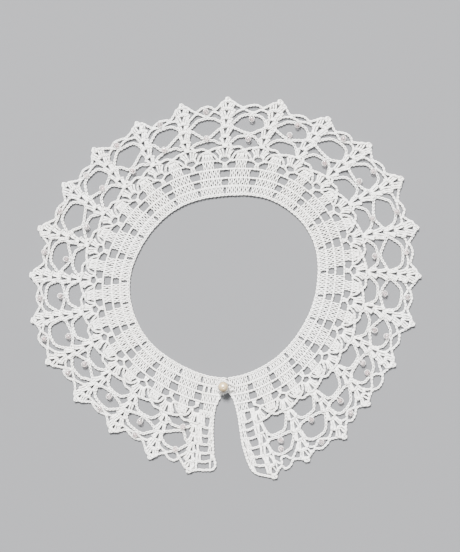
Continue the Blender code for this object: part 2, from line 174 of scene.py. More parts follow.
# How uneven hand work is, either way: where a post stands, how far it bows, the height of any
# strand and how far a link is shifted, in millimetres, and how far that link is turned.
PLACE_UNEVEN = 0.12
BOW_UNEVEN = 0.18
HEIGHT_UNEVEN = 0.04
LINK_UNEVEN = 0.10
TURN_UNEVEN = 0.05

# A post of a treble: its strands, as (share of its half width, share of its length, height in
# millimetres), and how thick each is as a share of the thread.
POST = (
    (1.1, ((-0.98, -0.05, 0.62), (-0.95, 0.27, 0.95), (-0.42, 0.51, 1.15), (-0.84, 0.74, 1.15),
           (-0.98, 1.05, 0.80))),
    (1.1, ((0.92, -0.05, 0.62), (0.86, 0.27, 0.85), (0.56, 0.49, 0.95), (0.92, 0.72, 1.10),
           (0.95, 1.05, 0.80))),
    (0.8, ((-1.0, 0.28, 0.55), (0.0, 0.46, 1.55), (1.0, 0.66, 0.55))),
)

# A link of a chain, as (share of the pitch, share of the half width, height in millimetres).
LINK = (
    (-0.85, -0.15, 0.45), (-0.32, -0.60, 0.80), (0.25, -1.00, 1.15), (0.60, 0.0, 1.42),
    (0.25, 1.00, 1.15), (-0.32, 0.60, 0.80), (-0.85, 0.15, 0.45))

# The rows of the neck band: depth at the foot and the top, trebles in a repeat, and the shares
# between which they stand. Between them lie the slit and the eyelets at each spoke.
Row = namedtuple("Row", ("foot", "top", "count", "first", "last"))
BAND_ROWS = (
    Row(1.3, 6.6, 6, 0.04, 0.96),
    Row(7.3, 12.5, 5, 0.11, 0.89),
    Row(13.2, 19.2, 5, 0.155, 0.845),
    Row(19.9, 25.2, 3, 0.325, 0.675),
)

# How the trebles stand in the rows: their pitch, the row that is loose beside the pearl, the gap
# on each side of a treble, in millimetres, and how much it narrows to its foot, as a share.
TREBLE_PITCH = 2.75
LOOSE_ROW = 1
LOOSE_PITCH = 3.6
LOOSE_GAP = 0.65
POST_GAP = 0.05
POST_TAPER = 0.04

# The ridges between the rows, as (depth, width) in millimetres, and the steps of their paths.
RIDGE_STEPS = 150
RIDGES = ((0.95, 2.1), (6.9, 1.75), (12.8, 1.45), (19.3, 1.35))

# The shells of a spoke: depth at the foot and the top, how wide the shell is at its top, as shares
# of the repeat either side, how far apart its trebles start and how far its sides fall back, both
# in millimetres.
Shell = namedtuple("Shell", ("foot", "top", "left", "right", "spread", "fall"))
SHELLS = (
    Shell(35.4, 42.4, 0.13, 0.16, 0.9, 1.1),
    Shell(42.5, 49.2, 0.14, 0.18, 1.7, 1.1),
    Shell(49.3, 55.9, 0.13, 0.16, 1.0, 1.1),
    Shell(56.0, 62.2, 0.15, 0.18, 1.8, 1.1),
    Shell(62.3, 68.5, 0.17, 0.17, 1.9, 2.6),
)
EYELET_HALF = 1.4
SHELL_BOW = 0.1
CRESCENTS = (0, 1, 0, 1, 0)
HUMP_HALF = 0.23
HUMP_SIDES = (0.30, 0.73)
PICOT_OUT = 69.5
PICOT_RADIUS = 1.15
PICOT_WIDTH = 1.9
LOW_CHAIN_WIDTH = 1.7
HIGH_CHAIN_WIDTH = 1.8

# The knot of a spoke: the place of its trebles, as share of the repeat, and their depths.
KNOT_SIDE = 0.045
KNOT_FOOT = 20.2
KNOT_TOP = 23.4

# The rays on both sides of a spoke's foot, from the diamond up: where each starts and ends, as
# share of the repeat and depth, its half width at both ends and how far it bows from the spoke.
Ray = namedtuple("Ray", ("foot", "foot_out", "top", "top_out", "foot_half", "top_half", "bow"))
RAYS = (
    Ray(0.024, 28.2, 0.078, 34.4, 0.68, 0.74, 0.0),
    Ray(0.078, 28.0, 0.160, 34.0, 0.65, 0.78, 0.2),
    Ray(0.122, 27.1, 0.222, 32.5, 0.65, 0.78, 0.4),
    Ray(0.165, 25.6, 0.125, 29.2, 0.80, 0.75, 0.2),
)

# The dome between two spokes: the shares of its posts at the foot and at the top, and the arch
# over it, as (share, depth).
DOME_FOOT = 26.1
DOME_TOP = 30.6
DOME = ((0.355, 0.40), (0.45, 0.465), (0.545, 0.53), (0.64, 0.60))
ARCH = (
    (0.205, 25.9), (0.228, 27.6), (0.275, 29.6), (0.36, 31.3), (0.48, 32.0), (0.60, 31.3),
    (0.69, 29.6), (0.75, 27.6), (0.79, 25.9))

# The pieces that run on to both front edges, and how far the other rounds reach past the first and
# the last spoke, as share of a front strip.
BAND_PIECES = ("neck_rows", "window_rows")
ROUND_REACH = 0.2

# The two front strips: how far in their edge chain lies, in millimetres; as shares of one strip,
# how far in the band's rows, its ridges and the ladder start and where that ends; how much wider a
# share has to be there than in a repeat; and how the edge chain goes on from the corner to the
# nearest picot, as (degrees, depth).
CHAIN_INSET = 1.0
ROW_INSET = 0.06
BORDER_INSET = 0.07
LADDER_INSET = 0.14
LADDER_SIDE = 0.86
STRIP_SHARE = 1.35
LEFT_FOOT = ((8.4, 67.6), (10.3, 69.0))
RIGHT_FOOT = ((346.9, 75.4), (345.9, 76.8))

# The row between band and ladder: the depths of its ridge and its foot, its end as share of the
# strip, and its posts. Then the pitch and the greatest half width of the ladder's posts.
FRONT_RIDGE = 25.7
FRONT_ROW_FOOT = 26.3
FRONT_ROW_STOP = 0.84
FRONT_ROW_POSTS = 4
LADDER_PITCH = 2.2
LADDER_HALF = 1.2

# The pearl button, its loop and the glass beads, in millimetres and degrees. The turn at which the
# pearl's hole begins is in radians, and steps and sides are numbers of points.
PEARL_ANGLE = 0.9
PEARL_OUT = 6.6
PEARL_RADIUS = 3.9
# The direction of the light that is painted into the pearl's colour: its body is painted darker on
# the side turned from it.
PEARL_LIT = (-0.1, 0.45, 0.89)
PEARL_HOLE = 0.22
PEARL_HOLE_TURN = 0.09
PEARL_DIMPLE = 0.35
PEARL_STEPS = 28
PEARL_SIDES = 48
SHANK_RADIUS = 1.2
SHANK_HEIGHT = 0.5
SEAM_GAP = 0.3
LOOP_BOW = 4.4
LOOP_REACH = 2.6
LOOP_FOOT = 1.2
LOOP_START = 50.0
LOOP_STEPS = 11
BEAD_RADIUS = 1.9
BEAD_HALF_LENGTH = 1.65
BEAD_HOLE = 0.5
BEAD_TOP = 1.96
BEAD_HEIGHT = 2.0
BEAD_STEPS = 12
BEAD_SIDES = 22
BEAD_LEANS = (50.0, 85.0)

# The thread round each side of a bead, as (past its middle, to the side, height).
BEAD_LOOP = ((-1.5, 1.3, 2.0), (0.0, 1.85, 2.3), (1.5, 1.2, 2.3), (2.1, 0.0, 2.1))

# The photograph's frame over the lace and the floor, in metres, and the camera in millimetres.
FRAME_MIDDLE = Vector((0.0033, 0.0088))
FRAME_HEIGHT = 0.3947
LENS = 85.0
SENSOR = 36.0
FLOOR_HALF = 3.0
FLOOR_DROP = 0.0002


def blend(low, high, share):
    return low + (high - low) * share


def spline(a, b, c, d, t):
    """A share of the way from b to c on a smooth curve through all four."""
    slope = 0.5 * (c - a)
    curve = a - 2.5 * b + 2.0 * c - 0.5 * d
    twist = 0.5 * (d - a) + 1.5 * (b - c)
    return b + t * (slope + t * (curve + t * twist))


def neck_radius(degrees):
    step = 360.0 / len(NECK_RADII)
    place = (degrees % 360.0) / step
    first = int(place)
    a, b, c, d = (NECK_RADII[(first + shift) % len(NECK_RADII)] for shift in (-1, 0, 1, 2))
    return spline(a, b, c, d, place - first)


def polar(degrees, out):
    radius = neck_radius(degrees) + out
    turn = math.radians(degrees)
    return NECK_CENTRE - radius * Vector((math.sin(turn), math.cos(turn)))


def column_angle(index, out):
    column = COLUMNS[index]
    first, second, third = (station * NOMINAL_DEPTH for station in COLUMN_STATIONS)
    if out <= first:
        return column.neck
    if out <= second:
        return blend(column.neck, column.shells, (out - first) / (second - first))
    return blend(column.shells, column.picot, (out - second) / (third - second))


def lay(along, out):
    """A point of the lace in millimetres, from its collar coordinates."""
    index = min(max(int(math.floor(along)), 0), len(COLUMNS) - 2)
    share = along - index
    degrees = blend(column_angle(index, out), column_angle(index + 1, out), share)
    depth = blend(COLUMNS[index].depth, COLUMNS[index + 1].depth, share)
    if out > FIRM_DEPTH:
        stretch = (depth - FIRM_DEPTH) / (NOMINAL_DEPTH - FIRM_DEPTH)
        out = FIRM_DEPTH + (out - FIRM_DEPTH) * stretch
    return polar(degrees, out)


def laid(spoke, places):
    """Points of the lace, each from its share of the repeat after a spoke and its depth."""
    return [lay(spoke + share, out) for share, out in places]


def smooth_paths(paths, steps=2, closed=False):
    """Smooth curves through paths of points, all of one length, as an array of paths."""
    if closed:
        padded = np.concatenate([paths[:, -1:], paths, paths[:, :2]], axis=1)
    else:
        head = 2.0 * paths[:, :1] - paths[:, 1:2]
        tail = 2.0 * paths[:, -1:] - paths[:, -2:-1]
        padded = np.concatenate([head, paths, tail], axis=1)
    a, b, c, d = (padded[:, k:padded.shape[1] - 3 + k] for k in range(4))
    parts = [spline(a, b, c, d, step / steps) for step in range(steps)]
    made = np.stack(parts, axis=2).reshape(len(paths), -1, paths.shape[2])
    if closed:
        return made
    return np.concatenate([made, paths[:, -1:]], axis=1)


def new_object(name, data):
    made = bpy.data.objects.new(name, data)
    bpy.context.scene.collection.objects.link(made)
    return made


def mesh_object(name, points, faces, uvs, material):
    """A mesh from its points, its faces as arrays of corners, and each corner's place on a map."""
    data = bpy.data.meshes.new(name)
    corners = np.concatenate([part.reshape(-1) for part in faces])
    sizes = np.concatenate([np.full(len(part), part.shape[1]) for part in faces])
    data.vertices.add(len(points))
    data.vertices.foreach_set("co", (points * MM).astype(np.float32).reshape(-1))
    data.loops.add(len(corners))
    data.loops.foreach_set("vertex_index", corners.astype(np.int32))
    data.polygons.add(len(sizes))
    starts = np.concatenate([[0], np.cumsum(sizes)[:-1]])
    data.polygons.foreach_set("loop_start", starts.astype(np.int32))
    if uvs is not None:
        layer = data.uv_layers.new(name="thread")
        flat = np.concatenate([part.reshape(-1, 2) for part in uvs])
        layer.data.foreach_set("uv", flat.astype(np.float32).reshape(-1))
    data.update(calc_edges=True)
    data.validate()
    data.shade_smooth()
    data.materials.append(material)
    return new_object(name, data)


class Threads:
    """Strands of thread that are gathered, and then made as one mesh."""

    def __init__(self, name):
        self.name = name
        self.groups = {}

    def add(self, points, thick=1.0):
        self.groups.setdefault((len(points), round(thick, 2)), []).append(points)

    def spots(self):
        """Where the strands lie: degrees round the neck, depth from it and distance from its
        centre, both in millimetres."""
        points = np.concatenate([
            np.array(strands, float).reshape(-1, 3) for strands in self.groups.values()])
        away = points[:, :2] - np.array(NECK_CENTRE)
        degrees = np.degrees(np.arctan2(-away[:, 0], -away[:, 1])) % 360.0
        radius = np.linalg.norm(away, axis=1)
        return degrees, radius - np.array([neck_radius(turn) for turn in degrees]), radius

    def depths(self):
        """Where the stitches begin and end: the means over the repeats of their least and of their
        greatest depth, in millimetres."""
        degrees, depth, _ = self.spots()
        marks = [COLUMNS[spoke].neck for spoke in SPOKES]
        parts = [depth[(degrees >= a) & (degrees < b)] for a, b in zip(marks, marks[1:])]
        low = sum(part.min() for part in parts) / len(parts) - THREAD_RADIUS
        high = sum(part.max() for part in parts) / len(parts) + THREAD_RADIUS
        return float(low), float(high)

    def make(self, material):
        points, quads, quad_maps, ends, end_maps = [], [], [], [], []
        start = 0
        for (_, thick), strands in sorted(self.groups.items()):
            path = smooth_paths(np.array(strands, float))
            count, rings = path.shape[:2]
            radius = THREAD_RADIUS * thick
            along = np.gradient(path, axis=1)
            along /= np.linalg.norm(along, axis=2, keepdims=True)
            side = np.cross(along, (0.0, 0.0, 1.0))
            side /= np.linalg.norm(side, axis=2, keepdims=True)
            up = np.cross(side, along)
            turn = np.arange(THREAD_SIDES) * math.tau / THREAD_SIDES
            spread = (np.cos(turn)[None, None, :, None] * side[:, :, None]
                      + np.sin(turn)[None, None, :, None] * up[:, :, None])
            width = np.full(rings, radius)
            width[[0, -1]] *= TIP_WIDTH
            ring = path[:, :, None] + width[None, :, None, None] * spread
            tips = np.stack([path[:, 0] - along[:, 0] * radius * TIP_REACH,
                             path[:, -1] + along[:, -1] * radius * TIP_REACH], axis=1)
            made = np.concatenate([ring.reshape(count, -1, 3), tips], axis=1)
            made[:, :, 2] = np.maximum(made[:, :, 2], 0.0)
            points.append(made.reshape(-1, 3))
            size = rings * THREAD_SIDES + 2
            base = start + np.arange(count)[:, None, None] * size
            r = np.arange(rings - 1)[None, :, None]
            s = np.arange(THREAD_SIDES)[None, None, :]
            after = (s + 1) % THREAD_SIDES
            quad = np.stack([base + r * THREAD_SIDES + s, base + r * THREAD_SIDES + after,
                             base + (r + 1) * THREAD_SIDES + after,
                             base + (r + 1) * THREAD_SIDES + s], axis=3)
            quads.append(quad[..., ::-1].reshape(-1, 4))
            step = np.linalg.norm(np.diff(path, axis=1), axis=2)
            reach = np.concatenate([np.zeros((count, 1)), np.cumsum(step, axis=1)], axis=1)
            reach = reach / PLY_PITCH
            low = np.broadcast_to(reach[:, :-1, None], (count, rings - 1, THREAD_SIDES))
            high = np.broadcast_to(reach[:, 1:, None], (count, rings - 1, THREAD_SIDES))
            here = np.broadcast_to(s / THREAD_SIDES, low.shape)
            there = here + 1.0 / THREAD_SIDES
            maps = np.stack([np.stack([low, here], -1), np.stack([low, there], -1),
                             np.stack([high, there], -1), np.stack([high, here], -1)], axis=3)
            quad_maps.append(maps[..., ::-1, :].reshape(-1, 4, 2))
            base = base[:, :, 0]
            s = np.arange(THREAD_SIDES)[None]
            after = (s + 1) % THREAD_SIDES
            last = (rings - 1) * THREAD_SIDES
            tip = np.broadcast_to(base + size - 2, (count, THREAD_SIDES))
            head = np.stack([base + s, base + after, tip], -1)
            tail = np.stack([base + last + after, base + last + s, tip + 1], -1)
            ends.extend([head.reshape(-1, 3), tail.reshape(-1, 3)])
            end_maps.extend([np.zeros((head.size, 2)), np.zeros((tail.size, 2))])
            start += count * size
        return mesh_object(self.name, np.concatenate(points), quads + ends,
                           quad_maps + end_maps, material)


def jitter(amount):
    return float(dice.uniform(-amount, amount))


def post(threads, foot, top, foot_half, top_half, lift=1.0, flip=1.0, bow=0.0):
    """One treble's post from its foot to its top, two places in millimetres, bowed to a side."""
    rise = top - foot
    length = rise.length
    rise = rise / length
    across = Vector((rise.y, -rise.x)) * flip
    lean = bow + jitter(BOW_UNEVEN)
    for thick, strand in POST:
        placed = []
        for x, y, z in strand:
            half = blend(foot_half, top_half, min(max(y, 0.0), 1.0)) - THREAD_RADIUS * thick
            spot = foot + across * (x * half + lean * math.sin(math.pi * y)) + rise * (y * length)
            placed.append((spot.x, spot.y, z * lift + jitter(HEIGHT_UNEVEN)))
        threads.add(placed, thick)


def even_places(path, pitch, closed=False):
    """Places a pitch apart along a smooth path of points, each with the direction there."""
    fine = smooth_paths(np.array([[tuple(point) for point in path]]), CURVE_STEPS, closed)[0]
    if closed:
        fine = np.concatenate([fine, fine[:1]])
    reach = np.concatenate([[0.0], np.cumsum(np.linalg.norm(np.diff(fine, axis=0), axis=1))])
    count = max(2, round(reach[-1] / pitch))
    marks = (np.arange(count) + 0.5) * reach[-1] / count
    behind, spots, ahead = (
        np.stack([np.interp(marks + shift, reach, fine[:, k]) for k in (0, 1)], axis=1)
        for shift in (-LOOK_AHEAD, 0.0, LOOK_AHEAD))
    ways = ahead - behind
    ways /= np.linalg.norm(ways, axis=1, keepdims=True)
    return spots, ways, reach[-1] / count


def chain(threads, path, width=CHAIN_WIDTH, pitch=CHAIN_PITCH, lift=1.0, floor=0.0, thick=1.0,
          closed=False):
    """A chain of links along a path of points in millimetres."""
    spots, ways, step = even_places(path, pitch, closed)
    for spot, way in zip(spots, ways):
        aside = jitter(LINK_UNEVEN)
        tilt = jitter(TURN_UNEVEN)
        placed = []
        for x, y, z in LINK:
            ahead = x * step
            across = y * (0.5 * width - THREAD_RADIUS * thick) + aside + tilt * ahead
            placed.append((
                spot[0] + way[0] * ahead - way[1] * across,
                spot[1] + way[1] * ahead + way[0] * across,
                floor + z * lift + jitter(HEIGHT_UNEVEN)))
        threads.add(placed, thick)


def offset_outline(outline, distance):
    """A closed outline in millimetres, moved outwards from its own middle all round."""
    points = np.array([tuple(point) for point in outline])
    ahead = np.roll(points, -1, axis=0) - points
    behind = points - np.roll(points, 1, axis=0)
    ways = ahead / np.linalg.norm(ahead, axis=1, keepdims=True)
    ways = ways + behind / np.linalg.norm(behind, axis=1, keepdims=True)
    ways /= np.linalg.norm(ways, axis=1, keepdims=True)
    normals = np.stack([ways[:, 1], -ways[:, 0]], axis=1)
    area = np.sum(points[:, 0] * np.roll(points[:, 1], -1)
                  - points[:, 1] * np.roll(points[:, 0], -1))
    return points + normals * distance * (1.0 if area > 0.0 else -1.0)


def repeat_gaps(repeat):
    """The outlines of the big gaps of a repeat, as (share, depth)."""
    inner, outer = repeat.inner, repeat.outer
    tie, outer_tie = repeat.inner_tie, repeat.outer_tie
    shoulder = max(SHOULDER_DEPTH, inner + SHOULDER_OFFSET)
    inner_loop = (
        (0.16, 37.0), (0.23, 35.8), (0.41, 35.8), (0.55, 34.0), (0.69, 35.0), (0.87, 35.8),
        (0.89, 37.4), (0.81, inner - 2.2), (0.72, inner - 0.3), (tie, inner), (0.36, inner - 0.7),
        (0.22, blend(37.0, inner, 0.3)))
    outer_loop = (
        (0.15, 51.0), (0.26, shoulder + 0.7), (tie, inner + 3.8), (0.80, shoulder), (0.91, 49.8),
        (0.87, 52.4), (0.81, outer - 2.4), (0.71, outer - 0.6), (outer_tie, outer),
        (0.37, outer - 0.7), (0.27, outer - 3.4))
    return inner_loop, outer_loop


def rim(outline, first, count, distance):
    """A stretch of an outline moved outwards, from one of its points on."""
    moved = offset_outline(outline, distance)
    return [moved[(first + k) % len(moved)] for k in range(count)]


def row_places(row, spoke):
    """The columns at which the trebles of a row stand in the repeat after a spoke."""
    step = (row.last - row.first) / row.count
    return [spoke + row.first + step * (k + 0.5) for k in range(row.count)]


def post_in_row(threads, along, foot, top, half, flip):
    low = lay(along, foot) + Vector((jitter(PLACE_UNEVEN), jitter(PLACE_UNEVEN)))
    high = lay(along, top) + Vector((jitter(PLACE_UNEVEN), jitter(PLACE_UNEVEN)))
    post(threads, low, high, half * (1.0 - POST_TAPER), half * (1.0 + POST_TAPER), flip=flip)


def band_rows(threads, rows, ridges):
    """Trebles standing in the rows of the neck band, and the ridges between the rows."""
    last = len(COLUMNS) - 1
    for number, row in rows:
        flip = 1.0 if number % 2 else -1.0
        for spoke in range(1, last - 1):
            places = row_places(row, spoke)
            middle = 0.5 * (row.foot + row.top)
            half = 0.5 * (lay(places[1], middle) - lay(places[0], middle)).length - POST_GAP
            for along in places:
                post_in_row(threads, along, row.foot, row.top, half, flip)
    for ridge, width in ridges:
        path = [lay(blend(*ridge_ends(ridge), k / RIDGE_STEPS), ridge)
                for k in range(RIDGE_STEPS + 1)]
        chain(threads, path, width, TREBLE_PITCH, lift=0.95, floor=0.22)


def ridge_ends(out):
    """Where a row meets the two front edges, as columns."""
    left = edge_column(LEFT_EDGE, out, 0) + BORDER_INSET
    right = edge_column(RIGHT_EDGE, out, len(COLUMNS) - 2) - BORDER_INSET
    return left, right


def edge_column(edge, out, index):
    """The column coordinate of a front edge at a depth."""
    depths = [depth for _, depth in edge]
    degrees = float(np.interp(out, depths, [angle for angle, _ in edge]))
    low, high = column_angle(index, out), column_angle(index + 1, out)
    return index + (degrees - low) / (high - low)


def front_band(threads, rows):
    """The rows of the neck band in the two front strips, up to their edges."""
    last = len(COLUMNS) - 2
    for number, row in rows:
        flip = 1.0 if number % 2 else -1.0
        middle = 0.5 * (row.foot + row.top)
        left = (edge_column(LEFT_EDGE, middle, 0) + ROW_INSET, 1.0 - row.first, 0)
        right = (last + row.first, edge_column(RIGHT_EDGE, middle, last) - ROW_INSET, last)
        for start, stop, index in (left, right):
            loose = index == 0 and number == LOOSE_ROW
            length = (lay(stop, middle) - lay(start, middle)).length
            count = max(1, round(length / (LOOSE_PITCH if loose else TREBLE_PITCH)))
            half = 0.5 * length / count - (LOOSE_GAP if loose else POST_GAP)
            for k in range(count):
                along = blend(start, stop, (k + 0.5) / count)
                post_in_row(threads, along, row.foot, row.top, half, flip)
            if loose:
                along = blend(start, stop, 2.0 / count)
                post_in_row(threads, along, row.foot, row.top, LOOSE_GAP - POST_GAP, flip)


def fans(threads):
    """The rays at each spoke's foot, the domes between the spokes and the arch over each dome."""
    for spoke in SPOKES:
        for side in (-1.0, 1.0):
            at_strip = (spoke, side) in ((SPOKES[0], -1.0), (SPOKES[-1], 1.0))
            share = side * (STRIP_SHARE if at_strip else 1.0)
            for ray in RAYS:
                post(threads, lay(spoke + share * ray.foot, ray.foot_out),
                     lay(spoke + share * ray.top, ray.top_out), ray.foot_half, ray.top_half,
                     lift=1.15, flip=side, bow=-ray.bow)
    for index in range(len(REPEATS)):
        spoke = index + 1
        for k, (foot, top) in enumerate(DOME):
            post(threads, lay(spoke + foot, DOME_FOOT), lay(spoke + top, DOME_TOP),
                 foot_half=1.15, top_half=0.85, lift=1.2, flip=1.0 if k % 2 else -1.0)
        chain(threads, laid(spoke, ARCH), width=1.7, pitch=2.3, lift=1.15, floor=0.4, thick=0.9)
        loop = laid(spoke, repeat_gaps(REPEATS[index])[0])
        chain(threads, rim(loop, 0, 6, 0.9), width=1.8, lift=1.1, floor=0.3)


def window_knots(threads):
    """The knot of two trebles between the two windows of each spoke."""
    for spoke in SPOKES:
        for share in (-KNOT_SIDE, KNOT_SIDE):
            post(threads, lay(spoke + share, KNOT_FOOT), lay(spoke + share * 0.5, KNOT_TOP),
                 foot_half=0.9, top_half=0.8)


def window_arcs(threads):
    """The chain that closes the row of windows."""
    for index in range(len(REPEATS)):
        arc = laid(index + 1, (
            (0.0, 23.3), (0.07, 23.9), (0.15, 25.0), (0.25, 25.4), (0.37, 25.6), (0.5, 25.6),
            (0.63, 25.6), (0.75, 25.4), (0.85, 25.0), (0.93, 23.9), (1.0, 23.3)))
        chain(threads, arc, width=1.4, pitch=2.4, floor=0.2, thick=0.9)


def ray_tops(threads):
    """The chain over the rays at each spoke's foot."""
    for spoke in SPOKES:
        rise = laid(spoke, (
            (-0.20, 33.4), (-0.10, 34.9), (0.0, 35.3), (0.10, 34.9), (0.20, 33.4)))
        chain(threads, rise, width=1.5, pitch=2.2, floor=0.8, thick=0.85)


def shells(threads, chosen):
    """Shells of trebles up each spoke: three a side, with a small eyelet between them."""
    for spoke in SPOKES:
        for shell, crescent in chosen:
            wide = {-1.0: shell.left, 1.0: shell.right}
            span = (lay(spoke + 1e-3, shell.top) - lay(spoke, shell.top)).length * 1e3
            for side in (-1.0, 1.0):
                width = wide[side] - EYELET_HALF / span
                count = 3 if width * span > 4.0 else 2
                for k in range(count):
                    share = (k + 0.5) / count
                    foot = lay(spoke + side * (0.3 + shell.spread * k) / span,
                               shell.foot + 0.4 * k)
                    top = lay(spoke + side * (EYELET_HALF / span + width * share),
                              shell.top - shell.fall * share)
                    post(threads, foot, top, foot_half=0.75,
                         top_half=0.47 * width * span / count, lift=1.3, flip=side,
                         bow=-SHELL_BOW)
            top_path = [lay(spoke + x, shell.top + rise) for x, rise in (
                (-shell.left * 0.92, -shell.fall), (-shell.left * 0.45, 0.6 * crescent),
                (0.0, 0.2 + 0.8 * crescent), (shell.right * 0.45, 0.6 * crescent),
                (shell.right * 0.92, -shell.fall))]
            chain(threads, top_path, width=1.4 + 0.8 * crescent, pitch=2.0, floor=0.8,
                  thick=0.8 + 0.3 * crescent)


def inner_loops(threads):
    """The chains on both sides of the ties between the two rounds of big gaps."""
    for index, repeat in enumerate(REPEATS):
        inner, outer = (laid(index + 1, outline) for outline in repeat_gaps(repeat))
        chain(threads, rim(inner, 6, 7, 1.05))
        chain(threads, rim(outer, 0, 5, 1.05))


def outer_loops(threads):
    """The chain along the outer side of each outer gap."""
    for index, repeat in enumerate(REPEATS):
        outer = laid(index + 1, repeat_gaps(repeat)[1])
        chain(threads, rim(outer, 4, 8, 1.05))


def inside_area(ring):
    """The area inside a closed path, in square millimetres."""
    return 0.5 * abs(sum(a.x * b.y - b.x * a.y for a, b in zip(ring, ring[1:] + ring[:1])))


def path_length(path):
    """The length of a path, in millimetres."""
    return sum((b - a).length for a, b in zip(path, path[1:]))


def edging(threads):
    """The two chains along the outer edge and a picot at each spoke. Returns the area of the edging
    with its holes: between the chains, under the outer half of each, and the picots."""
    area = len(SPOKES) * math.pi * (PICOT_RADIUS + 0.5 * PICOT_WIDTH) ** 2
    for index, repeat in enumerate(REPEATS):
        spoke = index + 1
        tie, bow, hump = repeat.outer_tie, repeat.outer, repeat.hump
        left = max(tie - HUMP_HALF, HUMP_SIDES[0])
        right = min(tie + HUMP_HALF, HUMP_SIDES[1])
        dip = max(min(bow + 6.3, hump - 2.6), hump - 3.6)
        low_path = laid(spoke, (
            (0.14, bow + 0.4), (0.20, bow + 2.7), (left + 0.02, dip - 1.4),
            (tie - 0.07, bow + 3.3), (tie, bow + 2.8), (tie + 0.07, bow + 3.3),
            (right - 0.02, dip - 1.3), (0.86, bow + 3.1), (0.93, bow - 0.6)))
        chain(threads, low_path, LOW_CHAIN_WIDTH, thick=0.95)
        high_path = laid(spoke, (
            (0.045, 69.0), (0.12, 67.8), (0.20, blend(67.8, dip, 0.5)), (left, dip),
            (blend(left, tie, 0.5), hump - 1.5), (tie, hump - 0.8),
            (blend(tie, right, 0.5), hump - 1.4), (right, dip + 0.2),
            (0.82, blend(dip, 67.8, 0.5)), (0.88, 67.8), (0.955, 69.0)))
        chain(threads, high_path, HIGH_CHAIN_WIDTH, thick=0.95)
        area += inside_area(low_path + high_path[::-1])
        area += 0.5 * LOW_CHAIN_WIDTH * path_length(low_path)
        area += 0.5 * HIGH_CHAIN_WIDTH * path_length(high_path)
    for spoke in SPOKES:
        middle = lay(spoke, PICOT_OUT)
        ring = [middle + PICOT_RADIUS * Vector((math.cos(turn), math.sin(turn)))
                for turn in (math.tau * step / 8 for step in range(8))]
        chain(threads, ring, PICOT_WIDTH, pitch=2.3, lift=1.2, floor=0.25, closed=True)
    return area


def border(edge, foot, corner, inwards):
    """The path of the chain just inside a front edge and on to the nearest picot."""
    path = []
    for degrees, out in edge[2:]:
        point = polar(degrees, out)
        middle = lay(corner + inwards * 0.45, min(out, 60.0))
        path.append(point + CHAIN_INSET * (middle - point).normalized())
    return path + [polar(degrees, out) for degrees, out in foot]


def front_strips(threads):
    """The borders of the two fronts, with the ladders between them and the nearest spoke."""
    last = len(COLUMNS) - 2
    for edge, ladder, index, inwards, foot in (
            (LEFT_EDGE, LEFT_LADDER, 0, 1.0, LEFT_FOOT),
            (RIGHT_EDGE, RIGHT_LADDER, last, -1.0, RIGHT_FOOT)):
        corner = index if inwards > 0.0 else index + 1
        chain(threads, border(edge, foot, corner, inwards), width=1.9)
        marks = [ladder[0].out - 4.0] + [
            0.5 * (a.out + b.out) for a, b in zip(ladder, ladder[1:])] + [ladder[-1].out + 3.0]
        for gap, low, high in zip(ladder, marks, marks[1:]):
            start = edge_column(edge, gap.out, index) + inwards * LADDER_INSET
            stops = [corner + inwards * (gap.along - half)
                     for half in (gap.neck_half, gap.outer_half)]
            length = (lay(0.5 * (stops[0] + stops[1]), gap.out) - lay(start, gap.out)).length
            count = max(1, round(length / LADDER_PITCH))
            half = min(LADDER_HALF, 0.5 * length / count)
            for k in range(count):
                foot, top = (blend(start, stop, (k + 0.5) / count) for stop in stops)
                post(threads, lay(foot, low + 0.3), lay(top, high - 0.3), half, half, flip=inwards)
            if gap != ladder[-1]:
                rung = [lay(corner + inwards * x, high + rise) for x, rise in (
                    (0.16, -0.2), (0.45, 0.4), (LADDER_SIDE, -1.1))]
                chain(threads, rung, width=2.0, pitch=2.4)
            for near, drop in ((0.07, 0.6), (0.19, 0.8)):
                if gap.along + gap.neck_half + near < LADDER_SIDE + 0.05:
                    post(threads,
                         lay(corner + inwards * (gap.along + gap.neck_half + near), low - drop),
                         lay(corner + inwards * (gap.along + gap.outer_half + near), high - drop),
                         0.95, 0.95, lift=1.1, flip=inwards)
        low, high = FRONT_ROW_FOOT, marks[0]
        start = edge_column(edge, low, index) + inwards * LADDER_INSET
        stop = corner + inwards * FRONT_ROW_STOP
        count = FRONT_ROW_POSTS
        if high > low:
            for k in range(count):
                along = blend(start, stop, (k + 0.5) / count)
                post(threads, lay(along, low), lay(along, high), 1.15, 1.15, flip=inwards)
        ridge = [lay(blend(start, stop, k / count), FRONT_RIDGE) for k in range(count + 1)]
        chain(threads, ridge, width=1.8)


def bead_places(index):
    """The two beads of a repeat: each tie and the bead that hangs from it, in millimetres."""
    repeat = REPEATS[index]
    ties = (
        (repeat.inner_tie, repeat.inner + INNER_TIE_OFFSET, repeat.inner_hang),
        (repeat.outer_tie, repeat.outer + OUTER_TIE_OFFSET, repeat.outer_hang))
    for along, out, hang in ties:
        tie = lay(index + 1 + along, out)
        yield tie, tie + hang * (tie - NECK_CENTRE).normalized()


def turned(profile, sides):
    """A closed profile of (radius, height) turned round the Z axis: its points and its quads."""
    profile = np.array(profile)
    turn = np.arange(sides) * math.tau / sides
    points = np.stack([
        profile[None, :, 0] * np.cos(turn)[:, None], profile[None, :, 0] * np.sin(turn)[:, None],
        np.broadcast_to(profile[None, :, 1], (sides, len(profile)))], axis=2).reshape(-1, 3)
    size = len(profile)
    s = np.arange(sides)[:, None]
    k = np.arange(size)[None]
    quads = np.stack([
        s * size + k, (s + 1) % sides * size + k, (s + 1) % sides * size + (k + 1) % size,
        s * size + (k + 1) % size], axis=2).reshape(-1, 4)
    return points, quads


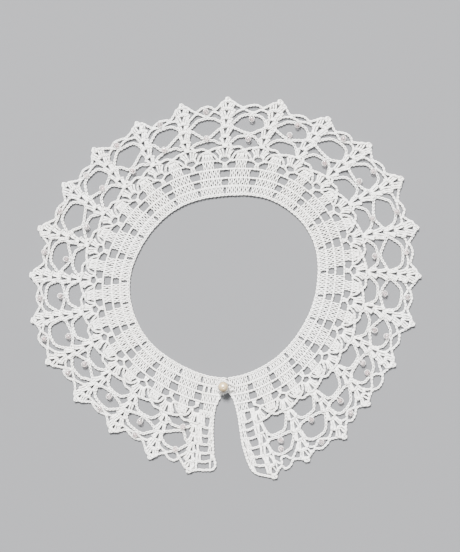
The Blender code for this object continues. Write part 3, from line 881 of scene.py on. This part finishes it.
def beads(material, cotton):
    """The glass beads of the ties, and the thread loop that holds each."""
    half = 0.5 * (BEAD_RADIUS - BEAD_HOLE)
    middle = 0.5 * (BEAD_RADIUS + BEAD_HOLE)
    profile = []
    for step in range(BEAD_STEPS):
        turn = math.tau * step / BEAD_STEPS
        profile.append((middle + half * math.cos(turn), BEAD_HALF_LENGTH * math.sin(turn)))
    ring, quads = turned(profile, BEAD_SIDES)
    points, faces = [], []
    threads = Threads("bead_threads")
    start = 0
    for index in range(len(REPEATS)):
        for tie, bead in bead_places(index):
            lean = math.radians(dice.uniform(*BEAD_LEANS))
            heading = dice.uniform(0.0, math.tau)
            c, s = math.cos(lean), math.sin(lean)
            tilt = np.array(((1.0, 0.0, 0.0), (0.0, c, -s), (0.0, s, c)))
            c, s = math.cos(heading), math.sin(heading)
            turn = np.array(((c, -s, 0.0), (s, c, 0.0), (0.0, 0.0, 1.0)))
            placed = ring @ (turn @ tilt).T
            placed = placed * min(1.0, BEAD_TOP / np.abs(placed[:, 2]).max())
            points.append(placed + np.array((bead.x, bead.y, BEAD_HEIGHT)))
            faces.append(quads + start)
            start += len(ring)
            away = (bead - NECK_CENTRE).normalized()
            if (bead - tie).dot(away) < 0.0:
                away = -away
            across = Vector((-away.y, away.x))
            for side in (-1.0, 1.0):
                strand = [(tie, 1.3)] + [
                    (bead + away * out + across * side * aside, z) for out, aside, z in BEAD_LOOP]
                threads.add([(spot.x, spot.y, z) for spot, z in strand], 0.6)
    made = mesh_object("glass_beads", np.concatenate(points), [np.concatenate(faces)], None,
                       material)
    return made, threads.make(cotton)


def feed(tree, socket, value):
    """Sets a socket to a value, or links it to the output of another node."""
    if isinstance(value, bpy.types.NodeSocket):
        tree.links.new(value, socket)
    else:
        socket.default_value = value


def set_inputs(tree, made, **inputs):
    for name, value in inputs.items():
        feed(tree, made.inputs[name.replace("_", " ")], value)


def node(tree, kind, **inputs):
    made = tree.nodes.new("ShaderNode" + kind)
    set_inputs(tree, made, **inputs)
    return made


def new_material(name, **inputs):
    """A material, its node tree and its shader, with the shader's inputs set."""
    material = bpy.data.materials.new(name)
    material.use_nodes = True
    tree = material.node_tree
    shader = tree.nodes["Principled BSDF"]
    set_inputs(tree, shader, **inputs)
    return material, tree, shader


def noise(tree, place, scale, detail):
    return node(tree, "TexNoise", Vector=place, Scale=scale, Detail=detail).outputs["Fac"]


def ramp(tree, factor, *stops):
    """The colour that a factor has between two stops, each as (position, red, green, blue)."""
    made = node(tree, "ValToRGB", Fac=factor)
    for element, (position, *colour) in zip(made.color_ramp.elements, stops):
        element.position = position
        element.color = (*colour, 1.0)
    return made.outputs["Color"]


def mapped(tree, value, **limits):
    return node(tree, "MapRange", Value=value, **limits).outputs["Result"]


def mixed(tree, mode, factor, first, second):
    """Two colours mixed by a factor."""
    made = tree.nodes.new("ShaderNodeMix")
    made.data_type = "RGBA"
    made.blend_type = mode
    set_inputs(tree, made, Factor=factor, A=first, B=second)
    return made.outputs["Result"]


def calculated(tree, operation, *values):
    """What a math node makes of its values, in the order of its sockets."""
    made = tree.nodes.new("ShaderNodeMath")
    made.operation = operation
    for socket, value in zip(made.inputs, values):
        feed(tree, socket, value)
    return made.outputs["Value"]


def cotton_material():
    """Mercerised ivory cotton: plied thread with a soft sheen, a little uneven in colour, with
    painted shade darkening its lower strands.
    """
    material, tree, shader = new_material(
        "ivory_cotton_thread", Sheen_Weight=0.25, Sheen_Roughness=0.4,
        Sheen_Tint=(1.0, 0.99, 0.96, 1.0), Specular_IOR_Level=0.35)
    place = node(tree, "TexCoord").outputs["Object"]
    broad = noise(tree, place, 22.0, 3.0)
    stitches = noise(tree, place, 520.0, 1.0)
    fine = noise(tree, place, 900.0, 2.0)
    body = ramp(tree, broad, (0.3, 0.88, 0.86, 0.81), (0.62, 0.93, 0.925, 0.90))
    speck = ramp(tree, fine, (0.25, 0.80, 0.79, 0.80), (0.6, 1.0, 1.0, 1.0))
    mottle = ramp(tree, stitches, (0.34, 0.78, 0.765, 0.76), (0.56, 1.0, 1.0, 1.0))
    colour = mixed(tree, "MULTIPLY", 0.8, mixed(tree, "MULTIPLY", 0.35, body, speck), mottle)
    # Painted shade: the colour of the lower strands is darkened, down to 0.62 of it at 0.2 mm high,
    # as the shade deep in the crevices.
    height = node(tree, "SeparateXYZ", Vector=place).outputs["Z"]
    painted_crevice_shade = tree.nodes.new("ShaderNodeVectorMath")
    painted_crevice_shade.operation = "SCALE"
    feed(tree, painted_crevice_shade.inputs[0], colour)
    feed(tree, painted_crevice_shade.inputs["Scale"], mapped(
        tree, height, From_Min=0.2 * MM, From_Max=1.1 * MM, To_Min=0.62, To_Max=1.0))
    thread = tree.nodes.new("ShaderNodeUVMap")
    thread.uv_map = "thread"
    apart = node(tree, "SeparateXYZ", Vector=thread.outputs["UV"])
    plies = calculated(tree, "MULTIPLY_ADD", apart.outputs["Y"], PLIES, apart.outputs["X"])
    wave = calculated(tree, "SINE", calculated(tree, "MULTIPLY", plies, math.pi))
    ridge = calculated(tree, "ABSOLUTE", wave)
    twist = node(tree, "Bump", Strength=0.6, Distance=0.12 * MM, Height=ridge).outputs["Normal"]
    fibre = node(tree, "Bump", Strength=0.3, Distance=0.05 * MM, Height=fine, Normal=twist)
    set_inputs(tree, shader, Base_Color=painted_crevice_shade.outputs["Vector"], Normal=fibre.outputs["Normal"],
               Roughness=mapped(tree, fine, To_Min=0.55, To_Max=0.85))
    return material


def glass_material():
    """Clear glass with a faint rose tint, as cheap seed beads have."""
    material, tree, shader = new_material(
        "rose_glass", Transmission_Weight=0.75, Alpha=0.65, IOR=1.5, Coat_Weight=0.5)
    clouds = noise(tree, node(tree, "TexCoord").outputs["Object"], 180.0, 2.0)
    colour = ramp(tree, clouds, (0.3, 0.88, 0.70, 0.69), (0.7, 1.0, 0.92, 0.91))
    set_inputs(tree, shader, Base_Color=colour,
               Roughness=mapped(tree, clouds, To_Min=0.04, To_Max=0.16))
    return material


def pearl_material():
    """A cream pearl: a soft lustre over a slightly clouded body, with painted shade darkening the
    side turned from the light and painted light on the side towards it.
    """
    material, tree, shader = new_material(
        "cream_pearl", Specular_IOR_Level=1.0, Coat_Weight=1.0, Coat_Roughness=0.2, Coat_IOR=1.65)
    place = node(tree, "TexCoord").outputs["Object"]
    clouds = noise(tree, place, 240.0, 3.0)
    # Painted shade and painted light: the body runs from dark tan on the side turned from the light
    # to cream on the side towards it.
    away = Vector(PEARL_LIT)
    middle = (pearl_seat() + Vector((0.0, 0.0, PEARL_RADIUS))).dot(away)
    lit = tree.nodes.new("ShaderNodeVectorMath")
    lit.operation = "DOT_PRODUCT"
    feed(tree, lit.inputs[0], place)
    feed(tree, lit.inputs[1], away)
    share = mapped(tree, lit.outputs["Value"], From_Min=(middle + 0.2 * PEARL_RADIUS) * MM,
                   From_Max=(middle + 0.9 * PEARL_RADIUS) * MM)
    body = mixed(tree, "MIX", share, (0.08, 0.048, 0.015, 1.0), (0.40, 0.30, 0.155, 1.0))
    shades = ramp(tree, clouds, (0.0, 0.86, 0.80, 0.76), (1.0, 1.0, 1.0, 1.0))
    set_inputs(tree, shader, Base_Color=mixed(tree, "MULTIPLY", 0.4, body, shades),
               Roughness=mapped(tree, clouds, To_Min=0.38, To_Max=0.50))
    return material


def pearl_seat():
    x, y = polar(PEARL_ANGLE, PEARL_OUT)
    return Vector((x, y, BAND_THICKNESS + SEAM_GAP))


def pearl(material):
    """The pearl over its thread shank, with the dimple of its hole on top."""
    start = math.asin(SHANK_RADIUS / PEARL_RADIUS)
    middle = SHANK_HEIGHT + PEARL_RADIUS * math.cos(start)
    profile = [(0.45, 0.0), (SHANK_RADIUS, 0.0), (SHANK_RADIUS * 0.9, 0.5 * SHANK_HEIGHT)]
    for step in range(PEARL_STEPS + 1):
        turn = blend(start, math.pi - PEARL_HOLE_TURN, step / PEARL_STEPS)
        profile.append((PEARL_RADIUS * math.sin(turn), middle - PEARL_RADIUS * math.cos(turn)))
    profile.append((PEARL_HOLE, middle + PEARL_RADIUS - PEARL_DIMPLE))
    profile.append((PEARL_HOLE, 0.6))
    points, quads = turned(profile, PEARL_SIDES)
    seat = pearl_seat()
    return mesh_object("pearl", points + np.array(tuple(seat)), [quads], None, material)


def button_loop(material):
    """The chain loop that passes round the pearl's shank, from its two feet."""
    threads = Threads("loop_chain")
    seat = pearl_seat()
    foot = seat.x + LOOP_BOW + LOOP_REACH
    path = [(foot, seat.y + LOOP_FOOT)]
    for step in range(LOOP_STEPS + 1):
        turn = math.radians(blend(LOOP_START, 360.0 - LOOP_START, step / LOOP_STEPS))
        path.append((seat.x + LOOP_BOW * math.cos(turn), seat.y + LOOP_BOW * math.sin(turn)))
    path.append((foot, seat.y - LOOP_FOOT))
    chain(threads, path, width=1.75, pitch=1.9, lift=0.85,
          floor=BAND_THICKNESS + SEAM_GAP - 0.05, thick=0.8)
    return threads.make(material)


def studio():
    """The floor, the soft lights and the camera straight above."""
    data = bpy.data.meshes.new("floor")
    data.from_pydata([(FLOOR_HALF * x, FLOOR_HALF * y, 0.0)
                      for x, y in ((-1, -1), (1, -1), (1, 1), (-1, 1))], [], [(0, 1, 2, 3)])
    data.materials.append(new_material(
        "studio_floor", Base_Color=(0.13, 0.131, 0.136, 1.0), Roughness=0.9)[0])
    floor = new_object("floor", data)
    floor.location.z = -FLOOR_DROP
    for name, kind, place, power, size in (
            ("key", "SUN", (-0.25, 0.85, 1.0), 17.0, math.radians(15.0)),
            ("fill", "AREA", (0.6, -0.3, 1.4), 14.0, 1.2),
            ("glint", "AREA", (-0.35, 0.47, 0.75), 5.0, 0.12)):
        light = bpy.data.lights.new(name, kind)
        light.energy = power
        if kind == "SUN":
            light.angle = size
        else:
            light.shape = "SQUARE"
            light.size = size
        lamp = new_object(name, light)
        lamp.location = place
        lamp.rotation_euler = (-Vector(place)).to_track_quat("-Z", "Y").to_euler()
    world = bpy.data.worlds.new("soft_sky")
    bpy.context.scene.world = world
    world.use_nodes = True
    background = world.node_tree.nodes["Background"]
    background.inputs["Color"].default_value = (0.95, 0.97, 1.0, 1.0)
    background.inputs["Strength"].default_value = 0.42
    camera_data = bpy.data.cameras.new("camera")
    camera_data.lens = LENS
    camera_data.sensor_width = SENSOR
    camera = new_object("camera", camera_data)
    camera.location = (FRAME_MIDDLE.x, FRAME_MIDDLE.y, FRAME_HEIGHT * LENS / SENSOR)
    bpy.context.scene.camera = camera


def declare_strip(threads):
    """Works out the depths at which the stitches of a piece of lace begin and end, and the first
    and the last column that it spans; nothing is done with them."""
    low, high = threads.depths()
    first, last = 0.0, float(len(COLUMNS) - 1)
    if threads.name not in BAND_PIECES:
        first, last = first + 1.0 - ROUND_REACH, last - 1.0 + ROUND_REACH


def build():
    cotton = cotton_material()
    rows = list(enumerate(BAND_ROWS))
    crested = list(zip(SHELLS, CRESCENTS))
    neck = Threads("neck_rows")
    band_rows(neck, rows[:2], RIDGES[:2])
    front_band(neck, rows[:2])
    upper = Threads("window_rows")
    band_rows(upper, rows[2:], RIDGES[2:])
    front_band(upper, rows[2:])
    window_knots(upper)
    fan = Threads("fans")
    window_arcs(fan)
    fans(fan)
    low_round = Threads("inner_round")
    ray_tops(low_round)
    shells(low_round, crested[:2])
    inner_loops(low_round)
    high_round = Threads("outer_round")
    shells(high_round, crested[2:])
    outer_loops(high_round)
    edge = Threads("edging")
    edge_area = edging(edge) * MM * MM
    front = Threads("front_strips")
    front_strips(front)
    for threads in (neck, upper, fan, low_round, high_round, edge, front):
        piece = threads.make(cotton)
        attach(piece, "root")
        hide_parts("lace_collar")
        if threads is front:
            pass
        else:
            declare_strip(threads)
    glass, held = beads(glass_material(), cotton)
    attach(glass, "root")
    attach(held, "root")
    button = pearl(pearl_material())
    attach(button, "root")
    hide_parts("pearl_button")
    ring = button_loop(cotton)
    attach(ring, "root")
    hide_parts("button_loop")


build()
studio()
